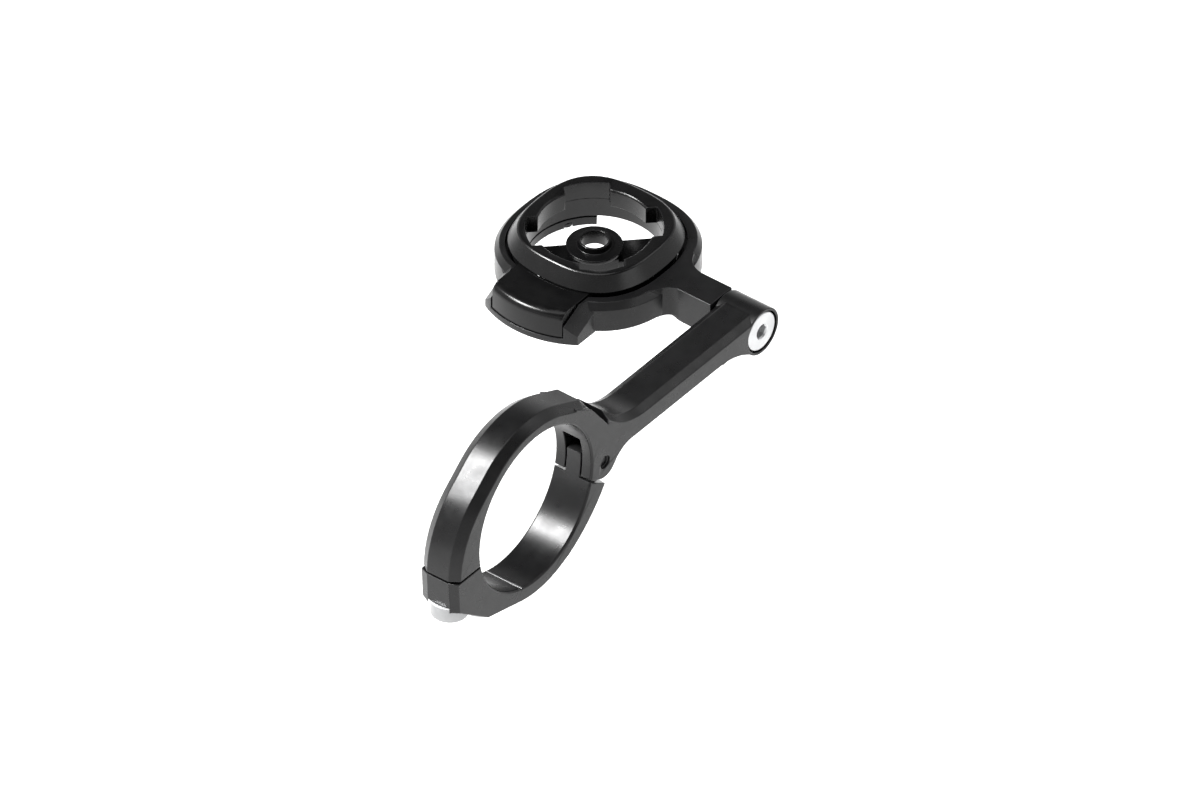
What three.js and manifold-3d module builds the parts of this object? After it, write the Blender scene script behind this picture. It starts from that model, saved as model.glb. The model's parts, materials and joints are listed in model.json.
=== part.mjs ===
// Out-front handlebar mount for a cycling computer: hinged bar clamp, arm, tilting twist-lock head.
// Millimetres. The origin is the centre of the clamp bore. +X is the rider's right, along the bar,
// +Y is forward and +Z is up.
import * as THREE from 'three';
import { mergeVertices } from 'three/addons/utils/BufferGeometryUtils.js';
import Module from 'manifold-3d';

const wasm = await Module();
wasm.setup();

// ---- driving dimensions ----
const FIT = 0.3;                // gap between parts that bear on each other
const LONG = 60;                // cutters reach this far
const BORE_R = 15.9;            // 31.8 mm handlebar
const BORE_EDGE = 0.3;          // chamfer at both ends of the bore
const WIDTH = 8.3;              // clamp and arm, along X
const BAND_W = 4.8;             // flat outer band between the clamp's side chamfers
const RIM_R = 19.2;             // upper jaw, outer
const RIM_DROP = 1.3;           // how far its side chamfers come in
const REAR = { y: -3.9, z: -3, r: 19 };          // fuller rear of the jaws, around the clamp bolt
const PARTING_Z = -3.05;
const PARTING_GAP = 0.4;
const HINGE = { y: 19.6, z: -2, boss: 3.35, pinR: 1 };
const TONGUE_W = 3.1;
const POCKET_W = 3.7;
const JAW_END = { y: 15.7, z: -4.2, turn: -33 };  // slanted front end of the lower jaw, degrees
const LOWER_R = 19.4;
const LOWER_DROP = 0.7;
const CLAMP_BOLT = { y: -19.4, r: 2, headR: 3.5, seatZ: -9.2, headBottom: -12.9, tipZ: 0 };
const PIVOT = { y: 64.4, z: -1.2, boss: 4.6, boltR: 2, headR: 3.8 };
const ARM = { top: 3.05, bottom: -2.3, drop: 0.9, flat: 5.4, rootY: 31.5, rootR: 14 };
const HEAD = { x: -31.4, y: 62, z: 6.5 };         // centre of the socket's top face
const LIP_R = 10.35;            // socket opening
const TRACK_R = 12.3;           // undercut below the lip
const LIP_Z = -3.6;             // underside of the lip, below the top face
const NOTCH_W = 8;
const NOTCH_R = 12.2;
const FLOOR_Z = -7.9;           // top of the housing's floor flange
const BASE_Z = -9.6;            // underside of the housing
const STUB_Z = -10.5;           // underside of its stub, next to the arm
const RING_TOP = -3.4;          // top face of the housing
const BODY_R = 14.6;            // insert's body, below the skirt
const SEAM_X = WIDTH / 2;       // the stub meets the arm here, on the arm's -X side
const BUTTON = { x: 1, half: 7.45, r: 18.8, innerR: 14, y: -3.2, top: -3.1, bottom: -8.2 };
const EAR = { left: -8.7, right: 10.9, r: 19, y: -3.2 };
const RING = { x: 0.3, y: 0.7, r: 17.4 };        // housing's rounded-square outline
const SKIRT_Y = 0.5;            // the socket's skirt sits this far forward of its opening
const HUB = { r: 5.05, boreR: 2.45, outerR: 2.95, bottom: -5.95, top: -3 };
const LEVER = { x: 3.4, y: -16.75, z0: -5.9, z1: -4.7, pinR: 0.6 };
const SCREW_R = 13.45;
const SCREW_ANGLES = [0, 150, 210, 330];

// ---- finishes ----
const finish = (color, roughness, metalness) => ({ color, roughness, metalness });
const ANODISED = finish(0x1b1b1d, 0.42, 0.85);
const MOULDED = finish(0x141415, 0.45, 0.0);
const GLOSSY = finish(0x0c0c0d, 0.22, 0.0);
const STEEL = finish(0xc9cbce, 0.3, 1.0);
const BLACK_STEEL = finish(0x2c2d30, 0.35, 0.9);
const NYLON = finish(0x3a3a3c, 0.6, 0.0);

// ---- solids ----
const rad = THREE.MathUtils.degToRad;
const TO_X = new THREE.Matrix4().set(0, 0, 1, 0, 1, 0, 0, 0, 0, 1, 0, 0, 0, 0, 0, 1);
const TO_Y = new THREE.Matrix4().set(1, 0, 0, 0, 0, 0, 1, 0, 0, -1, 0, 0, 0, 0, 0, 1);
const aboutZ = (degrees) => new THREE.Matrix4().makeRotationZ(rad(degrees));

function solid(geometry, matrix) {
  let g = geometry.clone();
  g.deleteAttribute('normal');
  g.deleteAttribute('uv');
  if (matrix) g.applyMatrix4(matrix);
  g = mergeVertices(g, 1e-4);
  const p = g.attributes.position.array;
  const tris = [];
  let volume = 0;
  for (let i = 0; i < g.index.count; i += 3) {
    const [a, b, c] = [0, 1, 2].map((k) => g.index.getX(i + k));
    if (a === b || b === c || c === a) continue;
    tris.push(a, b, c);
    const [A, B, C] = [a, b, c].map((k) => new THREE.Vector3().fromArray(p, 3 * k));
    volume += A.dot(B.cross(C));
  }
  if (volume < 0) {
    for (let i = 0; i < tris.length; i += 3) [tris[i], tris[i + 1]] = [tris[i + 1], tris[i]];
  }
  return new wasm.Manifold(new wasm.Mesh({
    numProp: 3, vertProperties: new Float32Array(p), triVerts: new Uint32Array(tris),
  }));
}

const join = (parts) => parts.reduce((a, b) => a.add(b));
const cut = (body, tools) => tools.reduce((a, b) => a.subtract(b), body);
const arc = (cx, cy, r, from, to, steps) => Array.from({ length: steps + 1 }, (_, i) => {
  const a = rad(from + (to - from) * i / steps);
  return [cx + r * Math.cos(a), cy + r * Math.sin(a)];
});
const shapeOf = (points) => new THREE.Shape(points.map(([x, y]) => new THREE.Vector2(x, y)));

// An outline pushed along the third axis from a to b. The side chamfers take `run` of that length
// at each end and come in by `drop`.
function extrude(points, a, b, matrix, run = 0, drop = 0) {
  const g = new THREE.ExtrudeGeometry(shapeOf(points), {
    depth: b - a - 2 * run, steps: 1, bevelEnabled: run > 0, bevelThickness: run,
    bevelSize: drop, bevelOffset: -drop, bevelSegments: 1,
  });
  g.translate(0, 0, a + run);
  return solid(g, matrix);
}
const alongX = (points, a, b, run, drop) => extrude(points, a, b, TO_X, run, drop);
const alongZ = (points, a, b, run, drop) => extrude(points, a, b, null, run, drop);
const rect = (x0, x1, y0, y1) => [[x0, y0], [x1, y0], [x1, y1], [x0, y1]];
const circle = (cx, cy, r, n) => arc(cx, cy, r, 0, 360 * (n - 1) / n, n - 1);
const rodX = (y, z, r, a, b, n = 32) => alongX(circle(y, z, r, n), a, b);
const rodZ = (x, y, r, a, b, n = 32) => alongZ(circle(x, y, r, n), a, b);
const rodY = (x, z, r, a, b, n = 24) => extrude(circle(x, -z, r, n), a, b, TO_Y);
const block = (x0, x1, y0, y1, z0, z1) => alongZ(rect(x0, x1, y0, y1), z0, z1);
const hexagon = (cx, cy, flats) => circle(cx, cy, flats / Math.sqrt(3), 6);

// A rounded square: |x/a|^n + |y/a|^n = 1.
function squircle(a, n, cx = 0, cy = 0, count = 72) {
  return Array.from({ length: count }, (_, i) => {
    const t = 2 * Math.PI * i / count;
    const [c, s] = [Math.cos(t), Math.sin(t)];
    return [
      cx + a * Math.sign(c) * Math.abs(c) ** (2 / n), cy + a * Math.sign(s) * Math.abs(s) ** (2 / n),
    ];
  });
}

// A closed solid through outlines of equal length, stacked upwards.
function stack(levels) {
  const count = levels[0].points.length;
  const position = levels.flatMap(({ z, points }) => points.flatMap(([x, y]) => [x, y, z]));
  const index = [];
  for (let l = 0; l + 1 < levels.length; l += 1) {
    for (let i = 0; i < count; i += 1) {
      const [a, b] = [l * count + i, l * count + (i + 1) % count];
      index.push(a, b, b + count, a, b + count, a + count);
    }
  }
  const cap = (l, flip) => {
    const contour = levels[l].points.map(([x, y]) => new THREE.Vector2(x, y));
    for (const [a, b, c] of THREE.ShapeUtils.triangulateShape(contour, [])) {
      const base = l * count;
      if (flip) index.push(base + a, base + c, base + b);
      else index.push(base + a, base + b, base + c);
    }
  };
  cap(0, true);
  cap(levels.length - 1, false);
  const g = new THREE.BufferGeometry();
  g.setAttribute('position', new THREE.Float32BufferAttribute(position, 3));
  g.setIndex(index);
  return solid(g);
}

// A solid of revolution about the vertical line at (x, y); the profile is [radius, z] pairs.
function turned(profile, x, y, n = 32) {
  const points = [...profile, profile[0]].map(([r, z]) => new THREE.Vector2(r, z));
  const g = new THREE.LatheGeometry(points, n);
  g.rotateX(Math.PI / 2);
  g.translate(x, y, 0);
  return solid(g);
}

function mesh(name, body, look, parent) {
  const { vertProperties, triVerts, numProp } = body.getMesh();
  const g = new THREE.BufferGeometry();
  const position = new Float32Array(vertProperties.length / numProp * 3);
  for (let i = 0; i < position.length / 3; i += 1) {
    for (let k = 0; k < 3; k += 1) position[3 * i + k] = vertProperties[numProp * i + k];
  }
  g.setAttribute('position', new THREE.BufferAttribute(position, 3));
  g.setIndex(new THREE.BufferAttribute(new Uint32Array(triVerts), 1));
  g.computeVertexNormals();
  const m = new THREE.Mesh(g, new THREE.MeshStandardMaterial(look));
  m.name = name;
  parent.add(m);
  return m;
}

const half = WIDTH / 2;
const sideRun = (WIDTH - BAND_W) / 2;
const endTurn = rad(JAW_END.turn);
// Outline of the side of the jaws' slanted front joint: everything below the line, offset upwards.
function belowJawEnd(offset) {
  const at = (y) => JAW_END.z + (y - JAW_END.y) * Math.tan(endTurn) + offset / Math.cos(endTurn);
  return [[12, -LONG], [LONG, -LONG], [LONG, at(LONG)], [12, at(12)]];
}
const clampBore = () => join([
  rodX(0, 0, BORE_R, -half - 1, half + 1, 96),
  ...[-1, 1].map((side) => solid(new THREE.CylinderGeometry(
    BORE_R + BORE_EDGE + 1, BORE_R, BORE_EDGE + 1, 96).rotateZ(-side * Math.PI / 2)
    .rotateX(side * Math.PI / 2).translate(side * (half + 0.5 - BORE_EDGE / 2), 0, 0))),
]);

// ---- upper jaw with its arm ----
function armUpperClamp() {
  const rearTangent = Math.atan2(-REAR.y, REAR.z) * 180 / Math.PI;
  const ring = alongX([
    [19.2, 8.6], [14.3, 14.6], ...arc(0, 0, RIM_R, 67, rearTangent, 15),
    ...arc(REAR.y, REAR.z, REAR.r, rearTangent, 200, 14), [-8, -12], [14, -9], [19, 3],
  ], -half, half, sideRun, RIM_DROP);

  const { boss } = HINGE;
  const filletR = 6;
  const underside = ARM.bottom + ARM.drop;
  const fz = underside - filletR;
  const fy = HINGE.y + Math.sqrt((boss + filletR) ** 2 - (fz - HINGE.z) ** 2);
  const touch = Math.atan2(fz - HINGE.z, fy - HINGE.y) * 180 / Math.PI;
  const rootTop = ARM.top + ARM.rootR;
  const web = alongX([
    [13, 8], [12.5, -4], ...arc(HINGE.y, HINGE.z, boss, -125, touch, 10),
    ...arc(fy, fz, filletR, touch + 180, 90, 8).slice(1), [36, underside], [36, ARM.top - ARM.drop],
    ...arc(ARM.rootY, rootTop, ARM.rootR + 1.6, 270, 224, 8), [15.8, 12.2], [13.8, 13.5], [11.4, 15],
  ], -half, half);

  const rootArc = arc(ARM.rootY, rootTop, ARM.rootR, 216, 270, 12);
  const bossJoin = Math.sqrt(PIVOT.boss ** 2 - (ARM.top - PIVOT.z) ** 2);
  const arm = alongX([
    [17, 9.5], [17, 3], [24, 0], [28, ARM.bottom], [56, ARM.bottom], [PIVOT.y - 3, -5], [PIVOT.y, 0],
    [PIVOT.y - bossJoin, ARM.top], ...rootArc.reverse(),
  ], -half, half, (WIDTH - ARM.flat) / 2, ARM.drop);
  const bossRod = rodX(PIVOT.y, PIVOT.z, PIVOT.boss, -half, half, 48);
  const bossFillet = alongX([
    [52, underside], ...arc(52, underside - 16, 16, 90, 66, 6), [PIVOT.y - 1, -5.6], [PIVOT.y, 0], [52, 1],
  ], -half, half);

  const saddle = alongX([[13.9, 15.6], [16, 12.2], [20.4, 6.05], [20.4, 17], [17, 17]], -LONG, LONG);
  const pocket = alongX([
    [12, -7], [HINGE.y, -7], ...arc(HINGE.y, HINGE.z, 3.9, -90, 90, 16),
    [17.4, 2.6], [16.9, 4.9], [12, 4.9],
  ], -POCKET_W / 2, POCKET_W / 2);
  const belowParting = block(-LONG, LONG, -LONG, 12, -LONG, PARTING_Z + PARTING_GAP / 2);
  return cut(join([ring, web, arm, bossRod, bossFillet]), [
    clampBore(), saddle, pocket, belowParting,
    alongX(belowJawEnd(PARTING_GAP), -LONG, LONG),
    rodX(HINGE.y, HINGE.z, HINGE.pinR + 0.04, -LONG, LONG, 24),
    rodX(HINGE.y, HINGE.z, HINGE.pinR + 0.3, half - 0.5, LONG, 24),
    rodX(HINGE.y, HINGE.z, HINGE.pinR + 0.3, -LONG, 0.5 - half, 24),
    rodZ(0, CLAMP_BOLT.y, 2.65, -LONG, 1.3),
    rodX(PIVOT.y, PIVOT.z, PIVOT.boltR + 0.15, -LONG, LONG),
    rodX(PIVOT.y, PIVOT.z, PIVOT.headR + 0.25, 1.6, LONG, 40),
    rodX(PIVOT.y, PIVOT.z, 3.75, -LONG, 1 - half, 40),
  ]);
}

const clampThreadInsert = () => cut(rodZ(0, CLAMP_BOLT.y, 2.6, -2.6, 1), [
  rodZ(0, CLAMP_BOLT.y, CLAMP_BOLT.r + 0.35, -LONG, LONG),
]);
const hingePin = () => rodX(HINGE.y, HINGE.z, HINGE.pinR, -half + 0.6, half - 0.6, 24);

// ---- lower jaw ----
function lowerClampJaw() {
  const swell = { y: -5.4, z: 9.8, r: 30.7 };     // long arc under the hinge
  const body = alongX([
    [LONG / 2, 3], ...arc(swell.y, swell.z, swell.r, -20, -61, 12),
    ...arc(0, 0, LOWER_R, -63, -106, 12), [-14, -16.5], [-22.5, -10.1], [-22.9, -3.25], [-22.9, 3],
  ], -half, half, sideRun, LOWER_DROP);
  const kept = cut(body, [
    clampBore(),
    block(-LONG, LONG, -LONG, 12, PARTING_Z - PARTING_GAP / 2, LONG),
    block(-LONG, LONG, 12, LONG, -LONG, LONG).subtract(alongX(belowJawEnd(0), -LONG, LONG)),
  ]);
  const tongue = alongX([
    [14, -9], [HINGE.y + 0.35, -9], [HINGE.y + 0.35, -5.2],
    ...arc(HINGE.y, HINGE.z, 3.3, -84, 90, 16), [17.2, 1.3], [16, 0.9], [14, 0.2],
  ], -TONGUE_W / 2, TONGUE_W / 2).subtract(rodX(0, 0, BORE_R, -LONG, LONG, 96));
  const groove = rodX(BORE_R * Math.cos(rad(-105)), BORE_R * Math.sin(rad(-105)), 0.35, -LONG, LONG, 8);
  return cut(join([kept, tongue]), [
    groove,
    rodX(HINGE.y, HINGE.z, HINGE.pinR + 0.06, -LONG, LONG, 24),
    rodZ(0, CLAMP_BOLT.y, CLAMP_BOLT.r + 0.3, -LONG, LONG),
    rodZ(0, CLAMP_BOLT.y, 3.9, -LONG, CLAMP_BOLT.seatZ, 40),
  ]);
}

function clampBolt() {
  const { y, r, headR, seatZ, headBottom, tipZ } = CLAMP_BOLT;
  const top = seatZ - 0.5;
  return cut(turned([
    [0, headBottom], [headR - 0.4, headBottom], [headR, headBottom + 0.4], [headR, top], [r, top],
    [r, tipZ - 0.5], [r - 0.5, tipZ], [0, tipZ],
  ], 0, y, 40), [alongZ(hexagon(0, y, 3), headBottom - 1, headBottom + 2)]);
}
const clampBoltWasher = () => cut(
  rodZ(0, CLAMP_BOLT.y, CLAMP_BOLT.headR + 0.2, CLAMP_BOLT.seatZ - 0.45, CLAMP_BOLT.seatZ - 0.05, 40),
  [rodZ(0, CLAMP_BOLT.y, CLAMP_BOLT.r + 0.1, -LONG, LONG)],
);

// ---- pivot ----
function pivotBolt() {
  const { y, z, boltR, headR } = PIVOT;
  return cut(join([
    rodX(y, z, headR, 1.7, half - 0.15, 48),
    rodX(y, z, boltR, -half - 11.5, 1.7),
  ]), [alongX(hexagon(y, z, 2.5), half - 1.6, LONG)]);
}
const pivotWasher = () => cut(rodX(PIVOT.y, PIVOT.z, 3.6, -half + 0.05, -half + 0.85, 40), [
  rodX(PIVOT.y, PIVOT.z, PIVOT.boltR + 0.1, -LONG, LONG),
]);

// ---- head; these solids are in the socket's own frame, under a group placed at HEAD ----
const BOLT_Y = PIVOT.y - HEAD.y;
const BOLT_Z = PIVOT.z - HEAD.z;
const pivotThreadInsert = () => cut(rodX(BOLT_Y, BOLT_Z, 2.4, 18.25, 26.05), [
  rodX(BOLT_Y, BOLT_Z, PIVOT.boltR + 0.06, -LONG, LONG),
]);
const earOutline = (r, xMin, xMax, inner) => {
  const [a, b] = [xMin, xMax].map((x) => Math.asin(x / r) * 180 / Math.PI);
  return [[xMax, inner], [xMin, inner], ...arc(0, EAR.y, r, 270 + a, 270 + b, 18)];
};
// Half-space above the plane n.p = d, as a large block.
function above(n, d) {
  const normal = new THREE.Vector3(...n).normalize();
  const turn = new THREE.Quaternion().setFromUnitVectors(new THREE.Vector3(0, 0, 1), normal);
  const g = new THREE.BoxGeometry(LONG, LONG, LONG).translate(0, 0, LONG / 2);
  g.applyQuaternion(turn).translate(...normal.multiplyScalar(d).toArray());
  return solid(g);
}

function headHousing() {
  const outline = (inset, n) => squircle(RING.r - inset, n, RING.x, RING.y);
  const ring = stack([
    { z: BASE_Z, points: outline(0.4, 2.35) }, { z: BASE_Z + 0.4, points: outline(0, 2.35) },
    { z: -4.7, points: outline(0, 2.35) }, { z: RING_TOP, points: outline(1.1, 2.5) },
  ]);
  const ear = cut(alongZ(earOutline(EAR.r, EAR.left, EAR.right, -8), BASE_Z, RING_TOP), [
    above([0.727, -0.307, 0.614], 9.03), above([-0.727, -0.307, 0.614], 7.55),
  ]);
  const stubEnd = -HEAD.x - SEAM_X - FIT;
  const [back, front] = [-1.5, 4.7];
  const [backFillet, frontFillet] = [3, 5];
  const stub = alongZ([
    [12, -10], ...arc(20.1, back - backFillet, backFillet, 165, 90, 8), [stubEnd, back],
    [stubEnd, front], ...arc(20.6, front + frontFillet, frontFillet, 270, 200, 8), [12, 12],
  ], BASE_Z, RING_TOP);
  // the stub deepens towards the arm, to hold the pivot's thread
  const keel = extrude([
    [16.6, 9], [16.6, -BASE_Z], ...arc(20.4, -STUB_Z - 2.6, 2.6, 120, 90, 4), [stubEnd, -STUB_Z],
    [stubEnd, 9],
  ], back, front, TO_Y);
  const flangeGap = alongZ([
    ...arc(0, 0, BODY_R + 0.2, 40, 126, 16), ...arc(0, 0, TRACK_R - 1, 126, 40, 16),
  ], -LONG, FLOOR_Z + 0.1);
  const barrel = rodX(BOLT_Y, BOLT_Z, 3.05, 18, stubEnd, 48);     // wall round the pivot's thread
  const groove = squircle(15, 2.5, 0, SKIRT_Y);
  const slot = BUTTON.half + 0.25;
  return cut(join([ring, ear, stub, keel, barrel]), [
    stack([{ z: -4.6, points: groove }, { z: RING_TOP + 1, points: groove }]),
    rodZ(0, 0, BODY_R + 0.2, FLOOR_Z, -4, 72), rodZ(0, 0, TRACK_R, -LONG, 0, 72), flangeGap,
    block(BUTTON.x - slot, BUTTON.x + slot, -LONG, -10.5, -4.6, LONG),
    block(BUTTON.x - slot, BUTTON.x + slot, -LONG, -15.4, BUTTON.bottom - 0.2, LONG),
    block(-3.4, 3.4, -16, -12, -6.2, LONG),
    block(LEVER.x - 0.1, 7.3, -16, -14.75, -6.2, LONG),
    rodZ(LEVER.x, LEVER.y, LEVER.pinR + 0.03, BASE_Z + 0.5, -4, 16),
    rodX(BOLT_Y, BOLT_Z, PIVOT.boltR + 0.1, 13.8, LONG),
    rodX(BOLT_Y, BOLT_Z, 2.45, 18, LONG),
    ...SCREW_ANGLES.flatMap((a) => {
      const [[x, y]] = arc(0, 0, SCREW_R, a, a, 1);
      return [rodZ(x, y, 0.8, -LONG, 0, 12), rodZ(x, y, 1.4, -LONG, BASE_Z + 1, 16)];
    }),
  ]);
}

function socketInsert() {
  const skirt = (a, n) => squircle(a, n, 0, SKIRT_Y);
  const body = join([
    stack([
      { z: -3.04, points: skirt(14.5, 2.5) }, { z: -2.8, points: skirt(14.6, 2.5) },
      { z: -0.2, points: skirt(12.8, 2.7) }, { z: 0, points: skirt(12.5, 2.7) },
    ]),
    rodZ(0, 0, 12.95, -5, -2.8, 72), rodZ(0, 0, BODY_R, FLOOR_Z + FIT, -4.7, 72),
  ]);
  const notchSpan = Math.asin(NOTCH_W / 2 / NOTCH_R) * 180 / Math.PI;
  const notchOutline = [
    [0, -NOTCH_W / 2], ...arc(0, 0, NOTCH_R, -notchSpan, notchSpan, 8), [0, NOTCH_W / 2],
  ];
  const notch = (angle) => extrude(notchOutline, LIP_Z - 0.1, 1, aboutZ(angle));
  const opening = join([
    turned([[0, 1], [LIP_R + 0.3, 1], [LIP_R + 0.3, 0], [LIP_R, -0.3], [LIP_R, -4], [0, -4]], 0, 0, 72),
    rodZ(0, 0, TRACK_R, -LONG, LIP_Z, 72),
  ]);
  const bar = extrude(rect(-12.6, 12.6, -2.95, 2.95), -7.4, -6.1, aboutZ(45));
  const hubBlock = cut(extrude(rect(-3.85, 3.85, -3.7, 3.7), -8.8, -4.95, aboutZ(45)), [
    above([0.5, 0.5, -0.72], 7.6), above([-0.5, -0.5, -0.72], 7.6),
    extrude(rect(-LONG, LONG, 0.13, LONG), -LONG, HUB.bottom - 0.04, aboutZ(45)),
  ]);
  const bridge = join([bar, hubBlock]).intersect(rodZ(0, 0, TRACK_R + 0.2, -LONG, 0, 72));
  const sightGap = extrude(rect(-3.1, 3.1, 0.13, 3.2), -LONG, HUB.bottom - 0.04, aboutZ(45));
  return cut(join([cut(body, [opening, ...[45, 135, 225, 315].map(notch)]), bridge]), [
    sightGap,
    rodZ(0, 0, 3.05, -LONG, 0),
    block(-3.4, 3.4, -16, -11, -6.2, -4.4),
    ...SCREW_ANGLES.map((a) => {
      const [[x, y]] = arc(0, 0, SCREW_R, a, a, 1);
      return rodZ(x, y, 0.72, -LONG, -4.9, 12);
    }),
  ]);
}

function hubBush() {
  const { r, boreR, outerR, bottom, top } = HUB;
  return turned([
    [boreR, bottom], [outerR, bottom], [outerR, -4.85], [r, -4.85], [r, -4.25], [r - 0.15, -4.1], [3.1, -4.1],
    [2.9, top + 0.1], [2.8, top], [boreR, top],
  ], 0, 0, 48);
}

function insertScrew(angle) {
  const [[x, y]] = arc(0, 0, SCREW_R, angle, angle, 1);
  return cut(turned([
    [0, BASE_Z + 0.05], [1.1, BASE_Z + 0.05], [1.25, BASE_Z + 0.2], [1.25, BASE_Z + 0.95],
    [0.65, BASE_Z + 0.95], [0.65, -5.3], [0, -5.3],
  ], x, y, 20), [alongZ(hexagon(x, y, 1.1), -LONG, BASE_Z + 0.6)]);
}

function releaseButton() {
  const { x, y, half: w, r, innerR, top, bottom } = BUTTON;
  const turn = (across, radius) => 270 + Math.asin(across / radius) * 180 / Math.PI;
  const level = (z, rr) => ({
    z,
    points: [
      ...arc(0, y, rr, turn(x - w, rr), turn(x + w, rr), 20),
      ...arc(0, 0, innerR, turn(x + w, innerR), turn(x - w, innerR), 12),
    ],
  });
  const shell = stack([
    level(bottom, r), level(-4.6, r), level(-4.1, r - 0.12), level(-3.65, r - 0.4),
    level(-3.3, r - 0.85), level(top, r - 1.6),
  ]);
  const hollow = block(x - w + 0.7, x + w - 0.7, -18.6, -10, -LONG, -4.3);
  const behind = block(-LONG, LONG, -16.5, -10, -LONG, -4.3);
  const leverRoom = block(-2.6, LEVER.x + 1.5, -20.2, -10, -6.15, -4.3);
  const tappet = block(5.9, 6.9, -18.7, -17.66, LEVER.z0, LEVER.z1);
  return join([cut(shell, [hollow, behind, leverRoom]), tappet]);
}

function latchLever() {
  const { x, y, z0, z1, pinR } = LEVER;
  return cut(join([
    alongZ(rect(-1.3, 6.9, y - 0.7, y + 0.7), z0, z1), rodZ(x, y, 1.2, z0, z1, 24),
    alongZ([[-1.3, y], [1.3, y], [1.2, -12], [0.9, -11.7], [-0.6, -11.7], [-1.3, -12.4]], z0, z1),
  ]), [rodZ(x, y, pinR + 0.05, -LONG, LONG, 16)]);
}
const latchPin = () => rodZ(LEVER.x, LEVER.y, LEVER.pinR, BASE_Z + 0.6, -4.6, 16);
const buttonSpring = (side) => cut(rodY(BUTTON.x + side * 5, -7.1, 1, -18.5, -15.5, 20), [
  rodY(BUTTON.x + side * 5, -7.1, 0.7, -LONG, LONG, 20),
]);

// ---- scene graph ----
const mount = new THREE.Group();
mesh('arm_upper_clamp', armUpperClamp(), ANODISED, mount);
mesh('clamp_thread_insert', clampThreadInsert(), STEEL, mount);
mesh('hinge_pin', hingePin(), BLACK_STEEL, mount);
mesh('lower_clamp_jaw', lowerClampJaw(), ANODISED, mount);
mesh('clamp_bolt', clampBolt(), STEEL, mount);
mesh('clamp_bolt_washer', clampBoltWasher(), STEEL, mount);
mesh('pivot_bolt', pivotBolt(), STEEL, mount);
mesh('pivot_friction_washer', pivotWasher(), NYLON, mount);

const head = new THREE.Group();
head.position.set(HEAD.x, HEAD.y, HEAD.z);
mount.add(head);
mesh('head_housing', headHousing(), ANODISED, head);
mesh('pivot_thread_insert', pivotThreadInsert(), STEEL, head);
mesh('socket_insert', socketInsert(), MOULDED, head);
mesh('hub_bush', hubBush(), MOULDED, head);
SCREW_ANGLES.forEach((angle, i) => mesh(`insert_screw_${i + 1}`, insertScrew(angle), BLACK_STEEL, head));
mesh('release_button', releaseButton(), GLOSSY, head);
mesh('latch_lever', latchLever(), BLACK_STEEL, head);
mesh('latch_pin', latchPin(), STEEL, head);
mesh('button_spring_left', buttonSpring(-1), STEEL, head);
mesh('button_spring_right', buttonSpring(1), STEEL, head);

export default mount;
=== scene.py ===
import json
import math

import bmesh
import bpy
from mathutils import Matrix, Vector


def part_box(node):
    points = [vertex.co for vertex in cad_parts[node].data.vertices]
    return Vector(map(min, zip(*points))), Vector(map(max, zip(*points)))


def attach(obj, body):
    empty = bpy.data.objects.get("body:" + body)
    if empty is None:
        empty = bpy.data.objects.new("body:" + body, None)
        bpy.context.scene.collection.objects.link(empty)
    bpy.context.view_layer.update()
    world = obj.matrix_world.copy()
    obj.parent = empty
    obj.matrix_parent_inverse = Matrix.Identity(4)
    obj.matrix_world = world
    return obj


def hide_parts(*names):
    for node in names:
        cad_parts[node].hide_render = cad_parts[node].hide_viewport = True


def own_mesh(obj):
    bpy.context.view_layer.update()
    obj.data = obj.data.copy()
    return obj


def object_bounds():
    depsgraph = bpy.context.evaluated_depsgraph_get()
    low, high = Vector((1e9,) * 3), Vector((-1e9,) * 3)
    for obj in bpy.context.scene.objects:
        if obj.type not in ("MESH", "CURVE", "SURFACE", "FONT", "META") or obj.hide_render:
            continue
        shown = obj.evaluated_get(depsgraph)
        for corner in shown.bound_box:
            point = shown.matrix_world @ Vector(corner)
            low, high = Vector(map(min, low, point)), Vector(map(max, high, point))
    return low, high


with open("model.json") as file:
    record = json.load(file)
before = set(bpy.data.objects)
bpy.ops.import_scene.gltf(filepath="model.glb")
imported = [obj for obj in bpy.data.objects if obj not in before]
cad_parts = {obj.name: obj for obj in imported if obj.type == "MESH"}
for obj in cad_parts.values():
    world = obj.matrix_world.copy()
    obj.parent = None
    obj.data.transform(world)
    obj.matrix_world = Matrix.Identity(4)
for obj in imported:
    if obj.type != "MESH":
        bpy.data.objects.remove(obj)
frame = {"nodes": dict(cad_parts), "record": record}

# Out-front handlebar mount. Lengths are in millimetres and MM turns them into metres.
MM = 0.001
CAD_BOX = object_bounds()
scene = bpy.context.scene


# ---------------------------------------------------------------- camera, floor and light
VIEW_AZIMUTH, VIEW_ELEVATION = 38.0, 39.0        # degrees; azimuth 0 looks along +Y
VIEW_TARGET = Vector((4.58, 17.52, 13.57)) * MM
VIEW_DISTANCE = 0.5
VIEW_WIDTH = 210.5 * MM                          # what the frame's width takes in
FLOOR_DROP = 90 * MM                             # floor below the lowest point


def towards(azimuth, elevation):
    """Unit vector from the object to a viewer at that azimuth and elevation."""
    a, e = math.radians(azimuth), math.radians(elevation)
    return Vector((math.sin(a) * math.cos(e), -math.cos(a) * math.cos(e), math.sin(e)))


def aim(thing, position, target):
    thing.location = position
    thing.rotation_euler = (target - position).to_track_quat("-Z", "Y").to_euler()


def make_camera():
    data = bpy.data.cameras.new("camera")
    data.type = "ORTHO"
    data.ortho_scale = VIEW_WIDTH
    data.clip_start, data.clip_end = 0.01, 20
    camera = bpy.data.objects.new("camera", data)
    scene.collection.objects.link(camera)
    aim(camera, VIEW_TARGET + towards(VIEW_AZIMUTH, VIEW_ELEVATION) * VIEW_DISTANCE, VIEW_TARGET)
    scene.camera = camera


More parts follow.
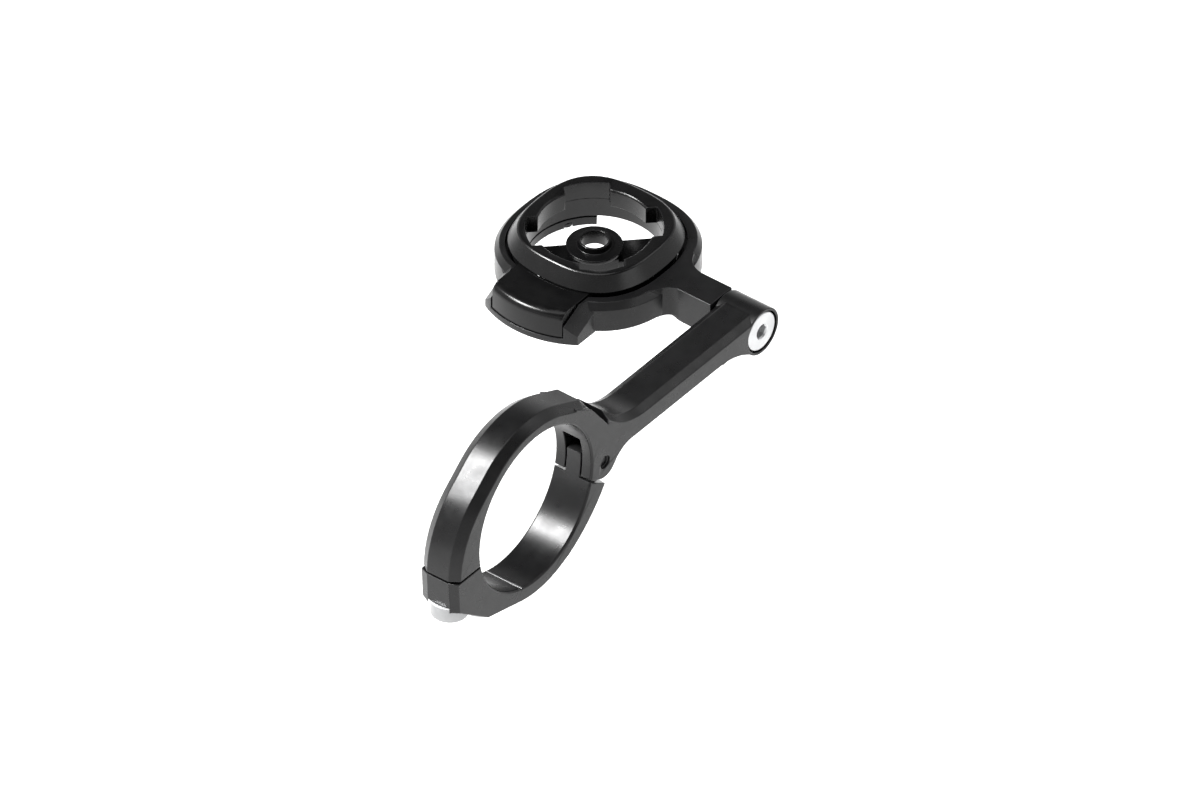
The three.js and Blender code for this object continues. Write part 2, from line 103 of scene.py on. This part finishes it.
def softbox(name, azimuth, elevation, distance, width, height, radiance):
    """An area light with that radiance, whatever its size."""
    data = bpy.data.lights.new(name, "AREA")
    data.shape = "RECTANGLE"
    data.size, data.size_y = width, height
    data.energy = radiance * math.pi * width * height
    light = bpy.data.objects.new(name, data)
    light.visible_camera = False
    scene.collection.objects.link(light)
    aim(light, VIEW_TARGET + towards(azimuth, elevation) * distance, VIEW_TARGET)


def make_lights():
    softbox("key", -48, 50, 1.5, 0.42, 0.42, 95)
    softbox("back_fill", 150, 45, 1.2, 0.5, 0.5, 2.2)
    softbox("overhead", 20, 84, 1.2, 0.7, 0.7, 2.5)
    softbox("right_fill", 100, 22, 1.0, 0.5, 0.35, 1.5)
    world = bpy.data.worlds.new("studio")
    world.use_nodes = True
    tree = world.node_tree
    background = tree.nodes["Background"]
    background.inputs["Color"].default_value = (1, 1, 1, 1)
    direction = tree.nodes.new("ShaderNodeTexCoord").outputs["Generated"]
    height = node(tree, "ShaderNodeSeparateXYZ", Vector=direction).outputs["Z"]
    # a pale wall up to about 20 degrees, and a dark ceiling from 37
    strength = spread(tree, height, 1.0, 0.05, 0.36, 0.60)
    tree.links.new(strength, background.inputs["Strength"])
    scene.world = world


# ---------------------------------------------------------------- materials
CLOUDS, PATCHES, SCUFF_AND_SHEEN = 260, 420, 900          # noise of tone, roughness and the edge line of wear and painted highlight, cells per metre
WEAR_AND_SHEEN_WIDTH = 0.22 * MM                           # how far the paler edge line, part wear and part painted highlight, reaches in from an edge


def shader(name):
    material = bpy.data.materials.new(name)
    material.use_nodes = True
    tree = material.node_tree
    return material, tree, tree.nodes["Principled BSDF"]


def node(tree, kind, **values):
    """A node with its inputs set, or linked where the value is another node's socket."""
    made = tree.nodes.new(kind)
    for key, value in values.items():
        if key in made.inputs:
            if isinstance(value, bpy.types.NodeSocket):
                tree.links.new(value, made.inputs[key])
            else:
                made.inputs[key].default_value = value
        else:
            setattr(made, key, value)
    return made


def noise(tree, scale, detail):
    """Noise over the object's own coordinates; scale is in cells per metre."""
    place = node(tree, "ShaderNodeTexCoord").outputs["Object"]
    return node(tree, "ShaderNodeTexNoise", Scale=scale, Detail=detail, Vector=place).outputs["Fac"]


def spread(tree, value, low, high, start=0.3, end=0.7):
    made = tree.nodes.new("ShaderNodeMapRange")
    tree.links.new(value, made.inputs["Value"])
    for key, number in (("From Min", start), ("From Max", end), ("To Min", low), ("To Max", high)):
        made.inputs[key].default_value = number
    return made.outputs["Result"]


def edge_mask(tree, radius):
    """1 along edges, 0 on flat faces: how far the rounded normal turns from the surface's own."""
    soft = node(tree, "ShaderNodeBevel", Radius=radius, samples=6).outputs["Normal"]
    own = node(tree, "ShaderNodeNewGeometry").outputs["Normal"]
    dot = tree.nodes.new("ShaderNodeVectorMath")
    dot.operation = "DOT_PRODUCT"
    tree.links.new(soft, dot.inputs[0])
    tree.links.new(own, dot.inputs[1])
    return spread(tree, dot.outputs["Value"], 0.0, 1.0, 0.998, 0.93)


def tint(tree, factor, first, second):
    made = tree.nodes.new("ShaderNodeMix")
    made.data_type = "RGBA"
    tree.links.new(factor, made.inputs[0])
    for slot, colour in ((6, first), (7, second)):
        if isinstance(colour, bpy.types.NodeSocket):
            tree.links.new(colour, made.inputs[slot])
        else:
            made.inputs[slot].default_value = (*colour, 1)
    return made.outputs[2]


def finish_material(name, dark, light, rough, metallic, specular, grain, edge=None):
    """The common build of every finish: cloudy tone, uneven roughness, fine surface grain and,
    with edge, a paler line along the edges, partly wear and partly a painted highlight. grain is (cells per
    metre, depth in metres)."""
    material, tree, bsdf = shader(name)
    tone = tint(tree, spread(tree, noise(tree, CLOUDS, 5), 0, 1), dark, light)
    if edge:
        # the paler edge line is scuffed wear plus a painted highlight where light would catch the rounded
        # edges
        wear_and_sheen = tree.nodes.new("ShaderNodeMath")
        wear_and_sheen.operation = "MULTIPLY"
        tree.links.new(edge_mask(tree, WEAR_AND_SHEEN_WIDTH), wear_and_sheen.inputs[0])
        tree.links.new(spread(tree, noise(tree, SCUFF_AND_SHEEN, 4), 0.35, 1), wear_and_sheen.inputs[1])
        tone = tint(tree, wear_and_sheen.outputs[0], tone, edge)
    tree.links.new(tone, bsdf.inputs["Base Color"])
    patches = spread(tree, noise(tree, PATCHES, 4), rough[0], rough[1])
    tree.links.new(patches, bsdf.inputs["Roughness"])
    scale, depth = grain
    bump = node(tree, "ShaderNodeBump", Height=noise(tree, scale, 2), Distance=depth, Strength=0.6)
    tree.links.new(bump.outputs["Normal"], bsdf.inputs["Normal"])
    bsdf.inputs["Metallic"].default_value = metallic
    bsdf.inputs["Specular IOR Level"].default_value = specular
    return material


def make_materials():
    # each edge colour is the paler edge line: part wear, part painted highlight
    return {
        # bead-blasted, black anodised aluminium
        "anodised": finish_material("anodised_metal", (0.005, 0.005, 0.0052), (0.008, 0.008, 0.0083),
                                    (0.26, 0.33), 0.25, 0.34, (9000, 0.012 * MM),
                                    edge=(0.035, 0.035, 0.037)),
        # glass-filled moulding with a fine spark-eroded texture
        "moulded": finish_material("moulded_insert", (0.0015, 0.0015, 0.0016), (0.003, 0.003, 0.0031),
                                   (0.22, 0.28), 0.0, 0.30, (6000, 0.02 * MM), edge=(0.02, 0.02, 0.021)),
        "gloss": finish_material("gloss_button", (0.002, 0.002, 0.0021), (0.004, 0.004, 0.0041),
                                 (0.2, 0.27), 0.0, 0.22, (5000, 0.004 * MM)),
        "bright": finish_material("bright_steel", (0.5, 0.505, 0.51), (0.6, 0.605, 0.61),
                                  (0.24, 0.38), 0.95, 0.5, (7000, 0.01 * MM), edge=(0.85, 0.85, 0.86)),
        "zinc": finish_material("zinc_steel", (0.26, 0.262, 0.265), (0.34, 0.342, 0.345),
                                (0.26, 0.4), 0.9, 0.5, (7000, 0.01 * MM), edge=(0.5, 0.5, 0.51)),
        "dark": finish_material("dark_steel", (0.008, 0.008, 0.009), (0.02, 0.02, 0.021),
                                (0.22, 0.36), 0.7, 0.5, (8000, 0.01 * MM), edge=(0.12, 0.12, 0.12)),
        "nylon": finish_material("nylon", (0.03, 0.03, 0.03), (0.05, 0.05, 0.048),
                                 (0.5, 0.62), 0.0, 0.4, (4000, 0.02 * MM)),
        "spring": finish_material("spring_wire", (0.45, 0.45, 0.46), (0.6, 0.6, 0.61),
                                  (0.18, 0.3), 1.0, 0.5, (9000, 0.006 * MM)),
    }


def floor_material():
    material, tree, bsdf = shader("floor")
    tone = tint(tree, spread(tree, noise(tree, 14, 4), 0, 1), (0.72, 0.72, 0.72), (0.76, 0.76, 0.76))
    tree.links.new(tone, bsdf.inputs["Base Color"])
    bsdf.inputs["Roughness"].default_value = 0.9
    bsdf.inputs["Specular IOR Level"].default_value = 0.1
    bsdf.inputs["Emission Color"].default_value = (1, 1, 1, 1)
    bsdf.inputs["Emission Strength"].default_value = 0.35
    return material


def make_floor():
    mesh = bpy.data.meshes.new("floor")
    z = CAD_BOX[0][2] - FLOOR_DROP
    reach = 12
    corners = [(-reach, -reach, z), (reach, -reach, z), (reach, reach, z), (-reach, reach, z)]
    mesh.from_pydata(corners, [], [(0, 1, 2, 3)])
    floor = bpy.data.objects.new("floor", mesh)
    floor.data.materials.append(floor_material())
    scene.collection.objects.link(floor)


# ---------------------------------------------------------------- mesh helpers
WELD = 0.012 * MM                                # points closer than this become one


def body_of_node(name):
    return next(b for b, members in frame["record"]["behaviour"]["bodies"].items() if name in members)


def publish(mesh, name, material, cad_node, sharp=30):
    """Shades the mesh smooth between its edges and puts it in place of the CAD node."""
    mesh.materials.clear()
    mesh.materials.append(material)
    mesh.shade_smooth()
    mesh.set_sharp_from_angle(angle=math.radians(sharp))
    piece = bpy.data.objects.new(name, mesh)
    scene.collection.objects.link(piece)
    weighted = piece.modifiers.new("weighted", "WEIGHTED_NORMAL")
    weighted.keep_sharp = True
    weighted.weight = 60
    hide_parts(cad_node)
    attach(piece, body_of_node(cad_node))
    return piece


def machined(cad_node, name, material, width, sharp=18):
    """The CAD solid with every edge that turns by more than sharp degrees rounded over by width."""
    bm = bmesh.new()
    bm.from_mesh(frame["nodes"][cad_node].data)
    bmesh.ops.remove_doubles(bm, verts=bm.verts, dist=WELD)
    bmesh.ops.dissolve_degenerate(bm, edges=bm.edges, dist=WELD)
    mesh = bpy.data.meshes.new(name)
    bm.to_mesh(mesh)
    bm.free()
    draft = bpy.data.objects.new(name + "_draft", mesh)
    scene.collection.objects.link(draft)
    bevel = draft.modifiers.new("edges", "BEVEL")
    bevel.width = width
    bevel.segments = 2
    bevel.limit_method = "ANGLE"
    bevel.angle_limit = math.radians(sharp)
    bevel.use_clamp_overlap = False
    bevel.miter_outer = "MITER_ARC"
    evaluated = draft.evaluated_get(bpy.context.evaluated_depsgraph_get())
    rounded = bpy.data.meshes.new_from_object(evaluated)
    bpy.data.objects.remove(draft)
    return publish(rounded, name, material, cad_node, sharp=34)


def axis_matrix(origin, axis):
    """Takes local +Z onto axis, at origin; both in the part's frame, origin in millimetres."""
    turn = Vector((0, 0, 1)).rotation_difference(Vector(axis)).to_matrix().to_4x4()
    return Matrix.Translation(Vector(origin)) @ turn


def loft(rows, matrix, count=96, closed=False):
    """A skin over loops round local Z. A row is (z, radius), and a radius is a number or a function
    of the angle; a radius of 0 makes a pole. closed joins the last row to the first."""
    bm = bmesh.new()
    loops = []
    for z, radius in rows:
        if radius == 0:
            loops.append([bm.verts.new((0, 0, z))])
            continue
        loop = []
        for i in range(count):
            a = 2 * math.pi * i / count
            r = radius(a) if callable(radius) else radius
            loop.append(bm.verts.new((r * math.cos(a), r * math.sin(a), z)))
        loops.append(loop)
    pairs = list(zip(loops, loops[1:])) + ([(loops[-1], loops[0])] if closed else [])
    for lower, upper in pairs:
        for i in range(count):
            j = (i + 1) % count
            if len(lower) == 1:
                bm.faces.new((lower[0], upper[j], upper[i]))
            elif len(upper) == 1:
                bm.faces.new((lower[i], lower[j], upper[0]))
            else:
                bm.faces.new((lower[i], lower[j], upper[j], upper[i]))
    bmesh.ops.recalc_face_normals(bm, faces=bm.faces)
    bm.transform(Matrix.Scale(MM, 4) @ matrix)
    mesh = bpy.data.meshes.new("loft")
    bm.to_mesh(mesh)
    bm.free()
    return mesh


def eased(points, radius, steps=4, closed=True):
    """The outline with its corners rounded: points are (z, r), and each corner becomes a short curve."""
    corners = [Vector(p) for p in points]
    out = []
    for i, corner in enumerate(corners):
        if not closed and i in (0, len(corners) - 1):
            out.append(tuple(corner))
            continue
        before, after = corners[i - 1], corners[(i + 1) % len(corners)]
        reach_a = min(radius, (before - corner).length * 0.45)
        reach_b = min(radius, (after - corner).length * 0.45)
        a = corner + (before - corner).normalized() * reach_a
        b = corner + (after - corner).normalized() * reach_b
        for k in range(steps + 1):
            t = k / steps
            out.append(tuple(a.lerp(corner, t).lerp(corner.lerp(b, t), t)))
    return out


M4_PITCH = 0.7


def hex_radius(flats):
    """Radius of a hexagon's outline by angle."""
    return lambda a: flats / 2 / math.cos((a + math.pi / 6) % (math.pi / 3) - math.pi / 6)


def thread_rows(z0, z1, radius, pitch, depth=0.25):
    """Rows of a right-hand helical thread between z0 and z1, fading in and out at both ends."""
    rows = []
    rows_per_turn = 8
    count = int((z1 - z0) / pitch * rows_per_turn)
    for k in range(count + 1):
        z = z0 + (z1 - z0) * k / count
        fade = min(1, (z - z0) / pitch, (z1 - z) / pitch)

        def at(a, z=z, fade=fade):
            phase = (z / pitch - a / (2 * math.pi)) % 1
            return radius - depth * fade * abs(2 * phase - 1)

        rows.append((z, at))
    return rows


def socket_bolt(origin, axis, head, shank_r, length, flats, depth, edge, pitch=M4_PITCH):
    """A screw with a hexagon socket, flats wide and depth deep. Local z runs from the head's outer
    face to the tip; head is its radius and height, and edge rounds its rim."""
    head_r, head_h = head
    rows = [(depth + 0.45, 0), (depth, flats * 0.36)]
    rows += [(depth, hex_radius(flats)), (0.28, hex_radius(flats)), (0.05, flats * 0.60), (0, flats * 0.62)]
    rows += [(0, head_r - edge)]
    rows += [(edge * (1 - math.cos(t)), head_r - edge * (1 - math.sin(t)))
             for t in (math.pi / 2 * k / 6 for k in range(1, 7))]
    rows += [(head_h - 0.12, head_r), (head_h, head_r - 0.12)]
    rows += [(head_h, shank_r + 0.12), (head_h + 0.12, shank_r), (head_h + 0.6, shank_r)]
    rows += thread_rows(head_h + 0.6, length - 0.5, shank_r, pitch)
    rows += [(length - 0.5, shank_r), (length - 0.1, shank_r - 0.45), (length, shank_r - 0.6), (length, 0)]
    return loft(rows, axis_matrix(origin, axis), 96)


def turned(profile, origin, axis, radius=0.12, count=96):
    """A ring or bush from its closed outline of (z, r) corners."""
    return loft(eased(profile, radius), axis_matrix(origin, axis), count, closed=True)


def ring_profile(z0, z1, inner, outer):
    return [(z0, inner), (z0, outer), (z1, outer), (z1, inner)]


def centre(cad_node):
    low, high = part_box(cad_node)
    return (low + high) / 2 / MM, (high - low) / MM


# ---------------------------------------------------------------- pieces
def make_clamp(looks):
    rim = 0.14 * MM
    machined("arm_upper_clamp", "upper_clamp_and_arm", looks["anodised"], rim)
    machined("lower_clamp_jaw", "lower_jaw", looks["anodised"], rim)

    low, high = (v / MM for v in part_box("clamp_bolt"))
    axis_x, axis_y = (low.x + high.x) / 2, (low.y + high.y) / 2
    head_r = (high.x - low.x) / 2
    bolt = socket_bolt((axis_x, axis_y, low.z), (0, 0, 1), (head_r, 3.2), 2.0, high.z - low.z,
                       3.0, 2.0, 0.45)
    publish(bolt, "clamp_bolt_m4", looks["zinc"], "clamp_bolt")

    low, high = (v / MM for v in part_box("clamp_bolt_washer"))
    washer = turned(ring_profile(low.z, high.z, 2.1, (high.x - low.x) / 2), (axis_x, axis_y, 0), (0, 0, 1))
    publish(washer, "clamp_washer", looks["bright"], "clamp_bolt_washer")

    low, high = (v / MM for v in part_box("clamp_thread_insert"))
    sleeve = threaded_sleeve(low.z, high.z, 2.35, (high.x - low.x) / 2, (axis_x, axis_y, 0), (0, 0, 1))
    publish(sleeve, "clamp_insert", looks["bright"], "clamp_thread_insert")

    low, high = (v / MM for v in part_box("hinge_pin"))
    middle = (low + high) / 2
    pin_r = (high.y - low.y) / 2
    pin = loft([(low.x, 0)] + eased([(low.x, 0.02), (low.x, pin_r), (high.x, pin_r), (high.x, 0.02)],
                                    0.25, closed=False) + [(high.x, 0)],
               axis_matrix((0, middle.y, middle.z), (1, 0, 0)), 64)
    publish(pin, "hinge_pin_steel", looks["dark"], "hinge_pin")


def threaded_sleeve(z0, z1, inner, outer, origin, axis):
    """An insert: a plain chamfered bore inside a threaded outside."""
    rows = [(z0 + 0.15, inner), (z0, inner + 0.1), (z0, outer - 0.2), (z0 + 0.2, outer)]
    rows += thread_rows(z0 + 0.2, z1 - 0.2, outer, M4_PITCH, 0.14)
    rows += [(z1 - 0.2, outer), (z1, outer - 0.2), (z1, inner + 0.1), (z1 - 0.15, inner)]
    return loft(rows, axis_matrix(origin, axis), 96, closed=True)


def make_pivot(looks):
    low, high = (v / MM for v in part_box("pivot_bolt"))
    y, z = (low.y + high.y) / 2, (low.z + high.z) / 2
    head_r = (high.y - low.y) / 2
    bolt = socket_bolt((high.x, y, z), (-1, 0, 0), (head_r, 2.3), 2.0, high.x - low.x, 2.5, 1.5, 0.3)
    publish(bolt, "pivot_bolt_m4", looks["bright"], "pivot_bolt")

    low, high = (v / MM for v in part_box("pivot_friction_washer"))
    washer = turned(ring_profile(low.x, high.x, 2.1, (high.y - low.y) / 2), (0, y, z), (1, 0, 0), 0.15)
    publish(washer, "friction_washer", looks["nylon"], "pivot_friction_washer")

    low, high = (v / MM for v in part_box("pivot_thread_insert"))
    sleeve = threaded_sleeve(low.x, high.x, 2.06, (high.y - low.y) / 2, (0, y, z), (1, 0, 0))
    publish(sleeve, "pivot_insert", looks["bright"], "pivot_thread_insert")


def make_head(looks):
    machined("head_housing", "housing", looks["anodised"], 0.1 * MM)
    machined("socket_insert", "twist_lock_socket", looks["moulded"], 0.1 * MM)
    machined("release_button", "push_button", looks["gloss"], 0.07 * MM, sharp=26)
    machined("latch_lever", "latch", looks["dark"], 0.08 * MM, sharp=30)

    middle, size = centre("hub_bush")
    foot, top = middle.z - size.z / 2, middle.z + size.z / 2
    disc_r = size.x / 2
    bore_r, neck_r = 2.45, 2.95
    under, over = top - 1.85, top - 1.1            # the disc's two faces
    bush = turned([
        (foot, bore_r), (foot, neck_r), (under, neck_r), (under, disc_r), (over, disc_r),
        (over, neck_r + 0.1), (top, neck_r - 0.1), (top, bore_r),
    ], (middle.x, middle.y, 0), (0, 0, 1), 0.16, 128)
    publish(bush, "hub", looks["moulded"], "hub_bush")

    middle, size = centre("latch_pin")
    pin_r = size.x / 2
    pin = loft([(-size.z / 2, 0)] + eased([(-size.z / 2, 0.02), (-size.z / 2, pin_r), (size.z / 2, pin_r),
                                           (size.z / 2, 0.02)], 0.12, closed=False)
               + [(size.z / 2, 0)],
               axis_matrix(middle, (0, 0, 1)), 48)
    publish(pin, "latch_pin_steel", looks["bright"], "latch_pin")

    for i in range(1, 5):
        cad_node = f"insert_screw_{i}"
        middle, size = centre(cad_node)
        screw = socket_bolt((middle.x, middle.y, middle.z - size.z / 2), (0, 0, 1), (1.25, 0.9), 0.65,
                            size.z, 1.1, 0.5, 0.15, pitch=0.45)
        publish(screw, f"screw_m1_{i}", looks["dark"], cad_node)


COILS, WIRE_R = 5, 0.15                          # turns of each spring and the radius of its wire


def make_springs(looks):
    """Two coil springs with closed ends."""
    for side in ("left", "right"):
        cad_node = f"button_spring_{side}"
        middle, size = centre(cad_node)
        coil_r = size.x / 2 - WIRE_R
        steps, around = COILS * 32, 10
        bm = bmesh.new()
        rings = []
        for k in range(steps + 1):
            t = k / steps
            closed_up = t - 0.55 * math.sin(2 * math.pi * t) / (2 * math.pi)   # tighter at both ends
            a = 2 * math.pi * COILS * t
            y = -size.y / 2 + WIRE_R + (size.y - 2 * WIRE_R) * closed_up
            out = Vector((math.cos(a), 0, math.sin(a)))
            ring = []
            for m in range(around):
                b = 2 * math.pi * m / around
                p = out * (coil_r + WIRE_R * math.cos(b)) + Vector((0, y + WIRE_R * math.sin(b), 0))
                ring.append(bm.verts.new(p))
            rings.append(ring)
        for lower, upper in zip(rings, rings[1:]):
            for m in range(around):
                n = (m + 1) % around
                bm.faces.new((lower[m], lower[n], upper[n], upper[m]))
        bm.faces.new(rings[0])
        bm.faces.new(rings[-1][::-1])
        bmesh.ops.recalc_face_normals(bm, faces=bm.faces)
        bm.transform(Matrix.Scale(MM, 4) @ Matrix.Translation(middle))
        mesh = bpy.data.meshes.new(f"coil_{side}")
        bm.to_mesh(mesh)
        bm.free()
        spring = publish(mesh, f"spring_{side}", looks["spring"], cad_node)
        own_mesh(spring)


make_camera()
make_floor()
make_lights()
scene.view_settings.view_transform = "Standard"
looks = make_materials()
make_clamp(looks)
make_pivot(looks)
make_head(looks)
make_springs(looks)
